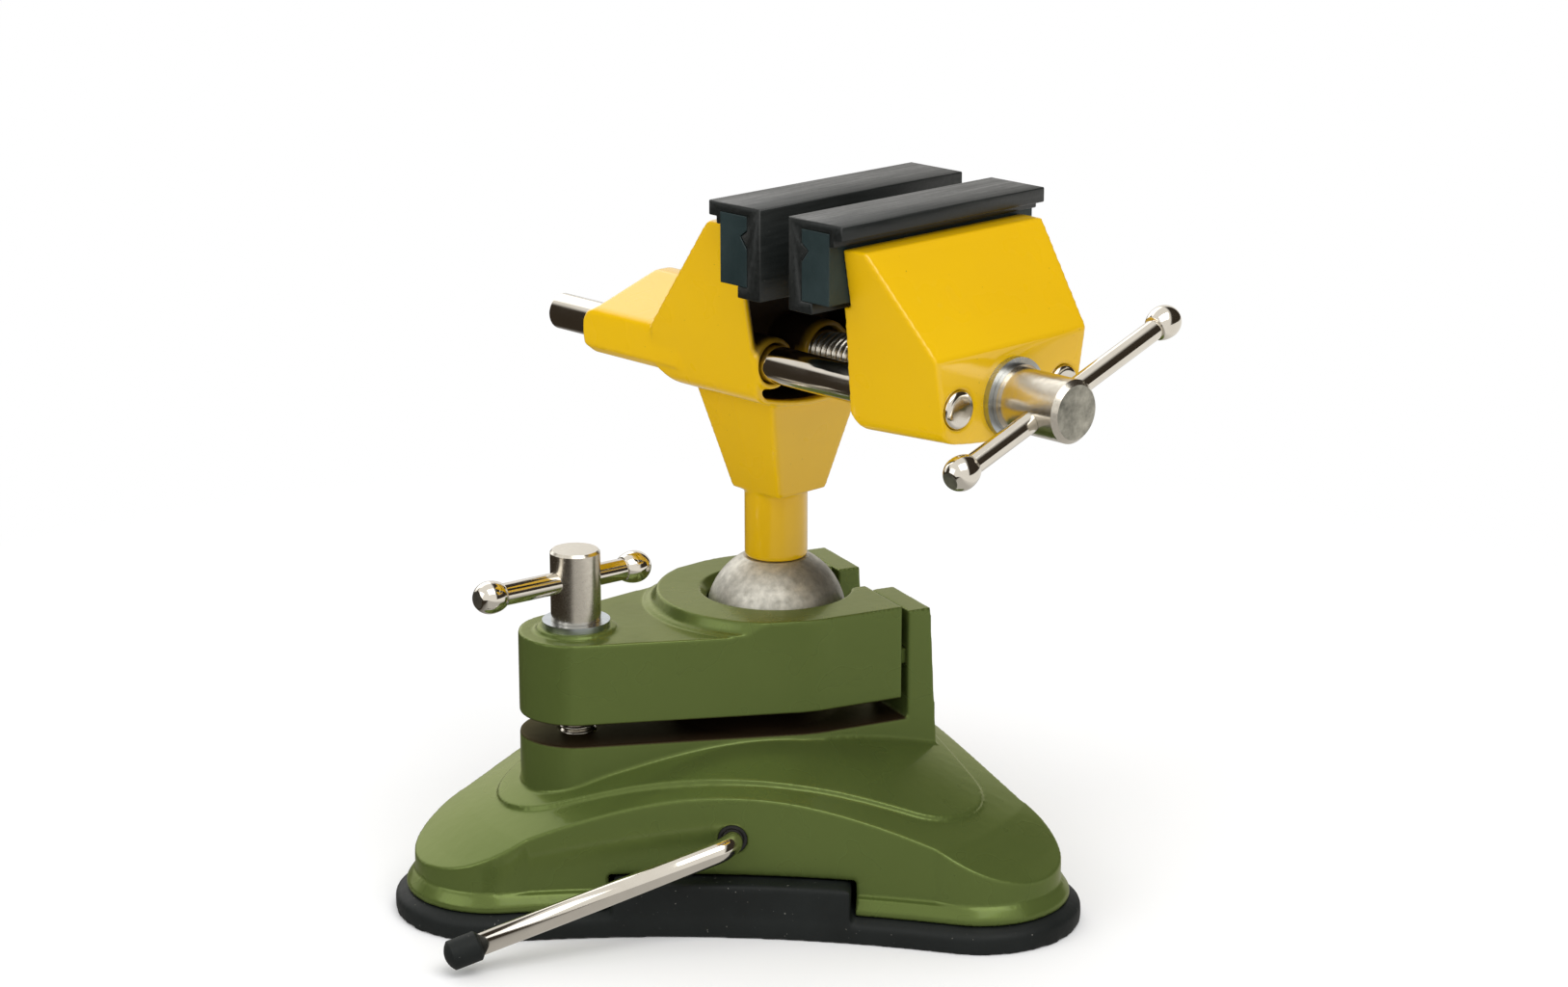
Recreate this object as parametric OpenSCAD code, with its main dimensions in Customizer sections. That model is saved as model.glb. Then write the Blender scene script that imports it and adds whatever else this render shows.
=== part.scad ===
// Small bench vise on a ball foot with a suction base.
// Row frame: origin on the bench under the ball centre, X along the jaws,
// -Y toward the spindle handle, Z up. The foot group is turned about Z.

/* [Jaws] */
// length of the jaw bars and of their covers
jaw_len = 75; // [60:1:100]
// opening between the two cover faces as drawn
jaw_gap = 10.5; // [2:0.5:30]
// widest opening between the two cover faces
jaw_open = 70; // [50:1:75]
// thickness of a jaw bar
bar_t = 9.9; // [8:0.1:12]
// height of a jaw bar
bar_h = 18.6; // [16:0.1:22]
// height of a jaw bar above the casting it stands on
bar_rise = 4.4; // [3:0.1:6]
// depth of the gripping groove along a jaw bar
groove_d = 2.5; // [1:0.1:4]
// thickness of a cover over the bar's face
cover_t = 4.9; // [3:0.1:7]
// thickness of a cover over the bar's top
cover_top = 2.5; // [1.5:0.1:4]
// how far a cover's lip reaches back over the casting
cover_lip = 4.4; // [3:0.1:7]
// radius of the jaw bar screws
bar_screw_r = 2; // [1.5:0.1:2.5]

/* [Head castings] */
// height of the castings' underside above the bench
cast_bottom = 139.2; // [132:0.2:146]
// height of the castings
cast_h = 48.7; // [44:0.1:56]
// half width of the castings at the top
top_half = 33; // [29:0.5:36]
// half width of the castings at the underside
bottom_half = 24.2; // [23.6:0.1:28]
// distance from the ball axis to the fixed casting's face
fixed_face = 18.5; // [15:0.5:24]
// depth of the moving casting from its bar seat to its nose
nose_depth = 28.4; // [24:0.2:34]
// width of the flat strip on top of each casting
top_flat = 8; // [5:0.5:12]
// height of the crease on the moving casting's nose above the castings' underside
crease_h = 24; // [20:0.2:30]
// length of the rear block behind the fixed casting's face
rear_len = 69.2; // [60:0.2:80]
// half width of the rear block
rear_half = 25.8; // [25:0.1:29]
// height of the rear block's ridge above the castings' underside
ridge_h = 22.3; // [21:0.1:27]
// thickness of the rim around the pocket in the fixed casting's face
rim_t = 2.4; // [1.8:0.1:3]
// depth of the pocket in the fixed casting's face
pocket_d = 14; // [8:0.5:18]
// reach of the rod and spindle bosses out of the fixed casting's face
boss_out = 1.8; // [0.5:0.1:3]
// wall of the rod and spindle bosses
boss_t = 2; // [1.4:0.1:2.6]
// radius of the castings' lower corners, seen from the front
corner_r = 5; // [4:0.5:7]
// radius of the fixed casting's sagging belly, seen from the front
belly_r = 80; // [60:1:100]
// radius of the moving casting's belly
moving_belly_r = 120; // [60:1:160]
// drop of the fixed casting's belly below the castings' underside
belly_drop = 4.3; // [3:0.1:5]
// thickness of the belly under the pocket
belly_t = 1.6; // [1.2:0.1:2.4]
// slope of the moving casting's belly, in degrees
belly_slope = 3.2; // [0:0.1:4]

/* [Neck and ball] */
// height of the ball centre above the bench
ball_z = 71; // [69:0.1:73]
// radius of the ball
ball_r = 19.4; // [18.6:0.1:20.4]
// radius of the stem
stem_r = 8.7; // [7:0.1:10]
// length of the neck below the castings
neck_len = 31.6; // [26:0.2:36]
// half width of the neck at its lower end
neck_half = 8.9; // [8.8:0.1:12]
// half width of the neck where it meets the casting
neck_top_half = 17.5; // [16:0.5:20]
// radius of the spigot under the stem
spigot_r = 5; // [4:0.1:6]
// radius of the ball screw
ball_screw_r = 2.5; // [2:0.1:3]

/* [Spindle and guide rods] */
// height of the spindle and the guide rods above the castings' underside
spindle_h = 9.8; // [9:0.1:12]
// radius of the spindle thread
screw_r = 6; // [5:0.1:7]
// radius of the spindle head
head_r = 8.3; // [7.5:0.1:9]
// length of the spindle head
head_len = 18.8; // [16:0.2:24]
// radius of the thrust washer
washer_r = 10.6; // [10:0.1:12]
// thickness of the thrust washer
washer_t = 1.7; // [1:0.1:2.5]
// radius of the guide rods
rod_r = 5; // [4:0.1:5.5]
// half spacing of the guide rods
rod_x = 19.5; // [18.5:0.1:20.5]
// length of rod left in the fixed casting at the widest opening
rod_hold = 26; // [15:1:35]
// length of thread left in the fixed casting at the widest opening
screw_hold = 12; // [8:1:20]

/* [Tommy bars] */
// radius of the spindle's tommy bar
bar_r = 2.75; // [2.2:0.05:3.2]
// distance between the spindle bar's knob centres
bar_span = 80.2; // [60:0.1:100]
// how far the spindle bar is pushed through its hole as drawn
bar_push = 5.5; // [-15:0.5:15]
// tilt of the spindle bar as drawn
bar_tilt = 19; // [-80:1:80]
// radius of the clamp screw's tommy bar
clamp_bar_r = 3; // [2.4:0.05:3.4]
// distance between the clamp bar's knob centres
clamp_bar_span = 46.6; // [40:0.1:60]
// how far the clamp bar is pushed through its hole as drawn
clamp_bar_push = -4; // [-8:0.5:8]
// heading of the clamp bar against the foot as drawn
clamp_bar_turn = 11; // [-60:1:60]
// radius of the knobs on both bars
knob_r = 4.4; // [4:0.1:5]
// length of the knobs on both bars
knob_len = 8; // [6:0.5:10]

/* [Ball clamp] */
// distance from the ball axis to the clamp screw
clamp_x = 60; // [55:0.5:66]
// radius of the clamp jaw's end around the screw
clamp_end_r = 15.7; // [13:0.1:18]
// half width of the clamp jaw
clamp_half = 32.2; // [30:0.1:34]
// distance from the ball axis to the clamp jaw's forked end
clamp_fork = 22.6; // [21.5:0.1:24]
// height of the clamp jaw's underside above the bench
clamp_bottom = 52.6; // [50:0.1:55]
// height of the clamp jaw's low deck above the bench
clamp_deck = 75.2; // [74:0.1:77]
// height of the raised collar round the ball above the bench
clamp_collar = 78.8; // [78:0.1:81]
// half width of the slot in the fork
slot_half = 10; // [9.3:0.1:11]
// radius of the clamp screw's thread
clamp_screw_r = 5; // [4:0.1:6]
// radius of the clamp screw's head
clamp_head_r = 6.8; // [6:0.1:8]
// height of the clamp screw's head
clamp_head_h = 19.5; // [16:0.1:24]
// radius of the clamp washer
clamp_washer_r = 9.2; // [8.5:0.1:10]
// thickness of the clamp washer
clamp_washer_t = 1.7; // [1:0.1:2.5]
// radius of the pivot ribs at the forked end
rib_r = 2.4; // [1.8:0.1:2.8]

/* [Foot] */
// turn of the foot group against the head as drawn
foot_turn = -17.6; // [-180:0.1:180]
// distance from the ball axis to the foot's centre
foot_x = 9; // [5:0.5:14]
// distance from the foot's centre to the lobe centres
lobe_d = 75; // [68:0.5:82]
// radius of the lobe walls
lobe_r = 22.5; // [20:0.1:26]
// radius of the hollow sides between the lobes
side_r = 270; // [200:5:400]
// how far the hollow sides stand back from the lobes
side_inset = 1; // [0.6:0.1:2]
// spread of the foot's flared edge
flare = 2.4; // [1:0.1:4]
// height of the foot's sloping roof at the lobe shoulder
roof_z = 25.8; // [24:0.1:28]
// slope of the foot's roof, rise over run
roof_slope = 0.4; // [0.36:0.005:0.44]
// wall thickness of the foot casting
wall_t = 4.6; // [3.5:0.1:5.5]
// height of the pedestal deck above the bench
deck_z = 46.9; // [45:0.1:48]
// height of the uprights above the bench
upright_z = 77.4; // [74:0.1:80]
// gap between the clamp jaw and the uprights
upright_gap = 1.9; // [1.2:0.1:2.4]
// thickness of the uprights at the top
upright_t = 6.8; // [5.5:0.1:8]
// outer radius of the ball seat
seat_r = 14; // [12:0.1:16]

/* [Suction pad and lever] */
// height of the pad's rim
pad_rim = 3.6; // [2.5:0.1:4.5]
// height of the pad under the casting
pad_h = 6.8; // [5.5:0.1:8]
// reach of the pad beyond the foot's wall
pad_reach = 5.5; // [4:0.1:8]
// width of the pad's tab in the foot's notch
tab_w = 63.5; // [40:0.5:68]
// height of the pad's tab above the bench
tab_z = 15; // [11:0.1:16]
// height of the lever's axis above the bench
lever_z = 25.6; // [24.5:0.1:26.5]
// radius of the lever rod
lever_r = 3; // [2.5:0.05:3.4]
// length of the lever's handle from the bend to its end
lever_len = 76; // [60:0.5:80]
// radius of the lever's bend
bend_r = 7; // [5:0.5:9]
// lean of the handle away from the foot's wall
lever_lean = 22; // [18:0.5:30]
// angle of the handle below level as drawn
lever_drop = 16; // [8:0.5:16]
// radius of the lever's rubber tip
tip_r = 4; // [3.7:0.1:4.4]
// length of the lever's rubber tip
tip_len = 15; // [10:0.5:20]
// radius of the lever's bush
bush_r = 3.9; // [3.6:0.05:4.5]
// radius of the eccentric on the lever rod
ecc_r = 5.5; // [5.2:0.1:5.6]
// throw of the eccentric
throw = 1.55; // [1.2:0.05:1.6]

/* [Fits] */
// radial clearance of parts that turn or slide
run = 0.06; // [0.03:0.01:0.1]
// radial clearance of parts that are pressed or screwed home
snug = 0.03; // [0.02:0.01:0.05]
// clearance between the ball and the clamp jaw at rest
ball_slack = 0.35; // [0.3:0.05:0.5]

/* [Hidden] */
$fn = 72;
yellow = [0.9, 0.72, 0.08];
green = [0.33, 0.38, 0.19];
steel = [0.78, 0.77, 0.74];
zinc = [0.6, 0.62, 0.63];
black = [0.1, 0.1, 0.1];
slate = [0.17, 0.22, 0.23];

// head, measured as v toward the handle (v = -y)
cast_top = cast_bottom + cast_h;
crease_z = cast_bottom + crease_h;
ridge_z = cast_bottom + ridge_h;
spindle_z = cast_bottom + spindle_h;
neck_z = cast_bottom - neck_len;
bar_z1 = cast_top + bar_rise;
bar_z0 = bar_z1 - bar_h;
cover_face = fixed_face + bar_t + snug + cover_t;
seat_v = cover_face + jaw_gap + cover_t + snug + bar_t;
nose_v = seat_v + nose_depth;
travel = jaw_open - jaw_gap;
rod_rear = fixed_face - travel - rod_hold;
screw_rear = fixed_face - travel - screw_hold;
rear_v = fixed_face - rear_len;
clip_t = 1.5;
clip_r = screw_r + 2.6;
clip_v = seat_v - 3.2;
collar_v = nose_v + washer_t + run;
collar_t = 1.5;
head_v = collar_v + collar_t + head_len;
bar_v = head_v - 0.46 * head_len;
lean = (top_half - bottom_half) / cast_h;
belly_z = cast_bottom - belly_drop;
pocket_z1 = bar_z0 - 3;
ball_top = sqrt(ball_r * ball_r - stem_r * stem_r) - 0.2;
spigot_len = 14;
bar_screw_x = 0.33 * jaw_len;
bar_screw_z = bar_z0 + 5.2;
bar_screw_len = bar_t + 8;

// foot, x from the ball axis toward the uprights
lobes = [60, 180, 300];
arc_c = lobe_d / 2 + sqrt(pow(side_r + lobe_r, 2) - pow(lobe_d * sqrt(3) / 2, 2));
side_d = arc_c - side_r - side_inset;
lip_z = pad_h + 1.6;
wall_z = lip_z + flare + 0.4;
tip_edge_r = lobe_d + lobe_r;
shoulder_r = tip_edge_r - 17.5;
brow_r = 0.66 * shoulder_r;
brow_z = roof_z + roof_slope * (shoulder_r - brow_r);
roof_top = brow_z + 0.84 * roof_slope * brow_r;
edge_z = roof_z - 9.4;
ceiling = deck_z - 10.1;
upright_x = clamp_fork + upright_gap;
upright_end = upright_x + upright_t;
pivot_x = upright_x - 0.4;
pivot_z = ball_z - 7;
boss_z = clamp_deck + 1.1;
washer_z = boss_z + clamp_washer_t;
clamp_bar_z = washer_z + 0.57 * clamp_head_h;
clamp_screw_low = 24;
seat_low = deck_z - 6.3;
lever_side = 240;
ecc_rest = -95;
ecc_t = 8;
yoke_gap = 0.45;
plate_r = 22;
plate_t = 1.8;
flat_gap = 0.05;

// a solid whose outline is given as [v, z] and which runs across the jaws
module side(pts, half)
  translate([-half, 0, 0]) rotate([90, 0, 90]) linear_extrude(2 * half)
    polygon([for (p = pts) [-p[0], p[1]]]);

// a solid whose outline is given as [x, z] and which runs from v0 to v1
module front(pts, v0, v1)
  translate([0, -v0, 0]) rotate([90, 0, 0]) linear_extrude(v1 - v0) polygon(pts);

// a round bar along the spindle direction from v0 to v1
module round_v(x, z, r0, v0, v1, r1 = -1)
  translate([x, -v0, z]) rotate([90, 0, 0])
    cylinder(h = v1 - v0, r1 = r0, r2 = r1 < 0 ? r0 : r1);

// moves a piece made for the fixed side to the moving side
module mirrored()
  translate([0, -(fixed_face + seat_v), 0]) mirror([0, 1, 0]) children();

// everything that belongs to the foot is drawn along x and turned
module foot() rotate([0, 0, foot_turn]) children();

// lever frame: origin on the lever axis over the foot centre, z out of the wall, y up
module lever_frame()
  translate([-foot_x, 0, lever_z]) rotate([0, 0, lever_side]) rotate([0, 90, 0])
    rotate([0, 0, 90]) children();

function half_at(z) = bottom_half + lean * (z - cast_bottom);
// front view of a casting up to z = b: its leaning sides, set in by d, run through corners of
// the radius r into a belly of the radius big, whose lowest point is at z = a
function corner_x(z, d, r) = half_at(z) - d - r * sqrt(1 + lean * lean);
function corner_z(x, a, r, big) = a + big - sqrt(pow(big - r, 2) - x * x);
function bowl(a, b, d, r, big) =
  let (guess = corner_z(corner_x(a + r + 3, d, r), a, r, big), x = corner_x(guess, d, r),
    z = corner_z(x, a, r, big), meet = asin(x / (big - r)), stop = 90 - atan(lean),
    half = concat([for (i = [1 : 6]) [big * sin(i * meet / 6), a + big - big * cos(i * meet / 6)]],
      [for (i = [1 : 7]) let (t = meet + i * (stop - meet) / 7) [x + r * sin(t), z - r * cos(t)]],
      [[half_at(b) - d, b]]))
  concat([[0, a]], half, [for (i = [len(half) - 1 : -1 : 0]) [-half[i][0], half[i][1]]]);

// corner points of the web that joins the three lobes
function web() = [for (a = lobes) for (s = [-1, 1])
  let (c = 0.4 * lobe_r, x = lobe_d + c, y = s * (sqrt(lobe_r * lobe_r - c * c) - 0.3))
    [x * cos(a) - y * sin(a), x * sin(a) + y * cos(a)]];

// three-lobed wall from z0 to z1, its hollow sides set back from the lobes
module lobed(z0, z1)
  translate([-foot_x, 0, z0]) {
    difference() {
      linear_extrude(z1 - z0) polygon(web());
      for (a = lobes) rotate([0, 0, a + 60]) translate([arc_c, 0, -1])
        cylinder(h = z1 - z0 + 2, r = side_r + side_inset, $fn = 400);
    }
    for (a = lobes) rotate([0, 0, a]) translate([lobe_d, 0, 0]) cylinder(h = z1 - z0, r = lobe_r);
  }

// smooth outline round the three lobes, grown by d
function outline(d) = let (f = atan2(arc_c * sin(60), arc_c * cos(60) - lobe_d)) [for (a = lobes) each concat(
  [for (k = [-12:12]) [lobe_d * cos(a) + (lobe_r + d) * cos(a + f * k / 12),
    lobe_d * sin(a) + (lobe_r + d) * sin(a + f * k / 12)]],
  [for (k = [1:15]) let (g = a + 180 + f + (120 - 2 * f) * k / 16)
    [arc_c * cos(a + 60) + (side_r - d) * cos(g), arc_c * sin(a + 60) + (side_r - d) * sin(g)]])];

// slab with the smooth outline from z0 to z1
module slab(z0, z1, d)
  translate([-foot_x, 0, z0]) linear_extrude(z1 - z0) polygon(outline(d));

// the foot's roof as a turned form, lifted by d
module roof(d)
  translate([-foot_x, 0, d]) rotate_extrude($fn = 180)
    polygon([[0, 0], [tip_edge_r + 1, 0], [tip_edge_r + 1, edge_z - 0.6], [tip_edge_r, edge_z],
      [tip_edge_r - 5.5, edge_z + 2.7], [tip_edge_r - 13.5, edge_z + 7.3], [shoulder_r, roof_z],
      [brow_r, brow_z], [0, roof_top]]);

// rounded triangle that carries the pedestal
module tier(z0, z1) {
  d = 0.736 * lobe_d;
  r = 0.81 * lobe_r;
  translate([-foot_x, 0, z0]) {
    linear_extrude(z1 - z0)
      polygon([for (a = lobes) for (s = [-60, 60])
        [d * cos(a) + (r - 0.05) * cos(a + s), d * sin(a) + (r - 0.05) * sin(a + s)]]);
    for (a = lobes) rotate([0, 0, a]) translate([d, 0, 0]) cylinder(h = z1 - z0, r = r);
  }
}

// plan of the clamp jaw and the pedestal from z0 to z1, ending at x = far
module teardrop(z0, z1, far) {
  w = clamp_half - 0.05;
  r = clamp_end_r - 0.05;
  k = (clamp_half - clamp_end_r) / clamp_x;
  c = sqrt(1 - k * k);
  translate([0, 0, z0]) {
    translate([-clamp_x, 0, 0]) cylinder(h = z1 - z0, r = clamp_end_r);
    difference() {
      cylinder(h = z1 - z0, r = clamp_half);
      translate([far, -clamp_half - 1, -1]) cube([clamp_half, 2 * clamp_half + 2, z1 - z0 + 2]);
    }
    linear_extrude(z1 - z0)
      polygon([[-clamp_x - r * k, r * c], [-clamp_x - r * k, -r * c], [-w * k, -w * c], [0, -w],
        [far, -w], [far, w], [0, w], [-w * k, w * c]]);
  }
}

// pivot ribs of the clamp jaw, grown by d, and the grooves they sit in
module ribs(d)
  for (s = [-1, 1]) translate([pivot_x, s * (clamp_half + slot_half) / 2, pivot_z])
    rotate([90, 0, 0])
      cylinder(h = clamp_half - slot_half - 4 + 2 * d, r = rib_r + d, center = true);

module uprights()
  for (s = [-1, 1]) translate([0, s * (clamp_half + slot_half) / 2, 0]) rotate([90, 0, 0])
    linear_extrude(clamp_half - slot_half - 0.1, center = true)
      polygon([[upright_x, ceiling + 2], [upright_end + 2.4, ceiling - 2],
        [upright_end, upright_z], [upright_x, upright_z]]);

// block across the lever's side of the foot, from x = near outward, wider than the tab by 2 * gap
module tab_block(near, gap, z0, z1)
  rotate([0, 0, lever_side])
    translate([foot_x / 2 + near, -tab_w / 2 - gap - foot_x * sin(60), z0])
      cube([0.6 * side_d, tab_w + 2 * gap, z1 - z0]);

module base_casting() color(green) foot() difference() {
  union() {
    difference() {
      union() {
        slab(pad_h, lip_z, flare);
        slab(lip_z - 0.5, lip_z + 0.9, 0.52 * flare);
        slab(lip_z - 0.5, wall_z, 0.2 * flare);
        intersection() {
          lobed(pad_h, roof_top);
          roof(0);
        }
        intersection() {
          tier(wall_z, roof_top + 4);
          roof(1.2);
        }
        teardrop(wall_z, deck_z, upright_end);
        uprights();
      }
      intersection() {
        slab(pad_h - 1, ceiling, -wall_t);
        roof(-wall_t - 0.4);
      }
      tab_block(side_d - 8, 1.4, 0, tab_z + 0.4);
    }
    translate([-clamp_x, 0, clamp_screw_low - 3])
      cylinder(h = deck_z - clamp_screw_low - 4, r = clamp_screw_r + 4.5);
    lever_frame() translate([0, 0, side_d - wall_t - 6]) cylinder(h = wall_t + 4, r = bush_r + 3.5);
    lever_frame() translate([-8, -lever_r - 4, 8]) cube([16, ceiling - lever_z + lever_r + 5, 7]);
  }
  translate([-clamp_x, 0, clamp_screw_low - 4])
    cylinder(h = deck_z, r = clamp_screw_r + run);
  translate([0, 0, seat_low]) cylinder(h = deck_z, r = seat_r + run);
  lever_frame() translate([0, 0, side_d - wall_t - 8]) cylinder(h = 8 * wall_t, r = bush_r + snug);
  lever_frame() cylinder(h = 0.6 * side_d, r = lever_r + run);
  ribs(run);
}

module suction_pad() color(black) foot() {
  difference() {
    union() {
      slab(0, pad_rim, pad_reach);
      slab(pad_rim - 1, (pad_rim + pad_h) / 2, (pad_reach + flare) / 2 + 0.4);
      slab(pad_rim - 1, pad_h, flare + 0.4);
    }
    slab(pad_rim, pad_h + 1, -wall_t - 1.5);
  }
  intersection() {
    tab_block(side_d - 5, 0, pad_rim - 0.8, tab_z);
    slab(pad_rim - 1, tab_z + 1, pad_reach - 0.3);
  }
}

module lift_yoke() color(zinc) foot() {
  y0 = throw * sin(ecc_rest);
  w = ecc_r + throw + yoke_gap;
  h = ecc_r + yoke_gap;
  low = pad_rim + plate_t - 0.2 - lever_z;
  translate([-foot_x, 0, pad_rim + flat_gap]) cylinder(h = plate_t, r = plate_r);
  lever_frame() translate([0, 0, -3]) linear_extrude(6) difference() {
    polygon([[-w - 2.5, low], [w + 2.5, low], [w + 2.5, y0 + h + 2.3], [-w - 2.5, y0 + h + 2.3]]);
    polygon([[-w, y0 - h], [w, y0 - h], [w, y0 + h], [-w, y0 + h]]);
  }
}

// the handle's own frame: origin where the bend ends, z along the handle
module handle_frame() {
  a = 90 - lever_lean;
  lever_frame() rotate([0, 0, 180 + lever_drop]) translate([0, 0, side_d + 1])
    translate([bend_r * (1 - cos(a)), 0, bend_r * sin(a)]) rotate([0, a, 0]) children();
}

module lever_rod() color(steel) foot() {
  a = 90 - lever_lean;
  lever_frame() {
    translate([0, 0, -ecc_t / 2]) cylinder(h = side_d + 1.2 + ecc_t / 2, r = lever_r);
    rotate([0, 0, 180 + lever_drop]) translate([bend_r, 0, side_d + 1]) rotate([90, 0, 0])
      rotate([0, 0, 180 - a]) rotate_extrude(angle = a) translate([bend_r, 0]) circle(r = lever_r + 0.05);
  }
  handle_frame() translate([0, 0, -0.2]) cylinder(h = lever_len - 2.8, r = lever_r);
}

module lever_tip() color(black) foot() handle_frame() difference() {
  translate([0, 0, lever_len - tip_len]) intersection() {
    cylinder(h = tip_len, r = tip_r);
    translate([0, 0, tip_len - 1.35 * tip_r]) sphere(r = 1.35 * tip_r);
    translate([0, 0, -1]) cylinder(h = tip_len + 2, r1 = tip_r - 0.3, r2 = tip_r + 1.2);
  }
  cylinder(h = lever_len - 3 + flat_gap, r = lever_r + snug);
}

module lever_bush() color(black) foot() lever_frame() translate([0, 0, side_d - wall_t - 5])
  difference() {
    cylinder(h = wall_t + 4.6, r = bush_r);
    translate([0, 0, -1]) cylinder(h = wall_t + 8, r = lever_r + run);
  }

module eccentric() color(steel) foot() lever_frame() difference() {
  translate([throw * cos(ecc_rest), throw * sin(ecc_rest), -ecc_t / 2]) cylinder(h = ecc_t, r = ecc_r);
  translate([0, 0, -ecc_t]) cylinder(h = 2 * ecc_t, r = lever_r + snug);
}

module ball_seat() color(black) foot() difference() {
  translate([0, 0, seat_low + flat_gap])
    cylinder(h = ball_z - sqrt(ball_r * ball_r - seat_r * seat_r) - seat_low - 1, r = seat_r);
  translate([0, 0, ball_z]) sphere(r = ball_r + run, $fn = 128);
  translate([0, 0, seat_low - 1]) cylinder(h = 30, r = 0.64 * seat_r);
}

module clamp_jaw() color(green) foot() {
  difference() {
    union() {
      teardrop(clamp_bottom, clamp_deck, clamp_fork);
      intersection() {
        teardrop(clamp_deck - 1, clamp_collar, clamp_fork);
        union() {
          translate([0, 0, clamp_deck - 1]) cylinder(h = 1.6, r = clamp_half + 4);
          translate([0, 0, clamp_deck + 0.5])
            cylinder(h = clamp_collar - clamp_deck - 0.5, r1 = clamp_half + 2.6, r2 = clamp_half + 0.8);
          translate([0, -clamp_half, clamp_deck - 1])
            cube([clamp_fork + 1, 2 * clamp_half, clamp_collar - clamp_deck + 2]);
        }
      }
      translate([-clamp_x, 0, clamp_deck - 1])
        cylinder(h = boss_z - clamp_deck + 1, r = clamp_washer_r + 1.6);
    }
    translate([0, 0, ball_z]) sphere(r = ball_r + ball_slack, $fn = 128);
    translate([0, 0, clamp_bottom - 1]) cylinder(h = ball_z - clamp_bottom + 1, r = ball_r + ball_slack);
    translate([0, 0, clamp_collar - 3.6]) cylinder(h = 5, r1 = 18.2, r2 = 22.4);
    translate([0, -slot_half, clamp_bottom - 1])
      cube([clamp_fork + 5, 2 * slot_half, clamp_collar - clamp_bottom + 2]);
    translate([-clamp_x, 0, clamp_bottom - 1])
      cylinder(h = boss_z - clamp_bottom + 2, r = clamp_screw_r + 1);
  }
  difference() {
    ribs(0);
    translate([clamp_fork - 10, -clamp_half, pivot_z - 10]) cube([9, 2 * clamp_half, 20]);
  }
}

module clamp_washer() color(zinc) foot() translate([-clamp_x, 0, boss_z]) difference() {
  cylinder(h = clamp_washer_t, r = clamp_washer_r);
  translate([0, 0, -1]) cylinder(h = clamp_washer_t + 2, r = clamp_screw_r + run);
}

module clamp_screw() color(steel) foot() translate([-clamp_x, 0, 0]) difference() {
  union() {
    translate([0, 0, clamp_screw_low]) cylinder(h = washer_z - clamp_screw_low + 2, r = clamp_screw_r);
    translate([0, 0, washer_z + flat_gap]) cylinder(h = clamp_head_h - 0.7, r = clamp_head_r);
    translate([0, 0, washer_z + flat_gap + clamp_head_h - 0.7])
      cylinder(h = 0.7, r1 = clamp_head_r, r2 = clamp_head_r - 0.6);
  }
  translate([0, 0, clamp_bar_z]) rotate([0, 90, clamp_bar_turn])
    cylinder(h = 6 * clamp_head_r, r = clamp_bar_r + run, center = true);
}

// tommy bar along x and the two knobs on its ends
module tommy(r, span) cylinder(h = span + knob_len - 3, r = r, center = true);
module knobs(r, span)
  for (s = [0, 180]) rotate([s, 0, 0]) translate([0, 0, span / 2]) difference() {
    intersection() {
      cylinder(h = knob_len, r = knob_r, center = true);
      sphere(r = 0.62 * knob_len);
    }
    translate([0, 0, -knob_len]) cylinder(h = 1.5 * knob_len - 1.4, r = r + snug);
  }

module clamp_bar_frame()
  foot() translate([-clamp_x, 0, clamp_bar_z]) rotate([0, 90, clamp_bar_turn])
    translate([0, 0, clamp_bar_push]) children();
module clamp_bar() color(steel) clamp_bar_frame() tommy(clamp_bar_r, clamp_bar_span);
module clamp_bar_knobs() color(steel) clamp_bar_frame() knobs(clamp_bar_r, clamp_bar_span);

module ball() color(zinc) difference() {
  translate([0, 0, ball_z]) sphere(r = ball_r, $fn = 128);
  translate([0, 0, ball_z + ball_top]) cylinder(h = ball_r, r = 2 * ball_r);
  translate([0, 0, ball_z + ball_top - spigot_len - 1]) cylinder(h = ball_r + spigot_len, r = spigot_r + run);
  translate([0, 0, ball_z - ball_r]) cylinder(h = 2 * ball_r, r = ball_screw_r + 0.2);
  translate([0, 0, ball_z - ball_r - 1]) cylinder(h = 10, r = 2 * ball_screw_r);
}

module ball_screw() color(steel) translate([0, 0, ball_z - ball_r + 9 - flat_gap]) {
  translate([0, 0, -4]) cylinder(h = 4, r = 2 * ball_screw_r - 0.3);
  translate([0, 0, -0.5]) cylinder(h = ball_r + ball_top - 9, r = ball_screw_r);
}

module bar_holes(extra)
  for (s = [-1, 1])
    round_v(s * bar_screw_x, bar_screw_z, bar_screw_r + extra, fixed_face - 8.5, fixed_face + bar_t + 1);

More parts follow.
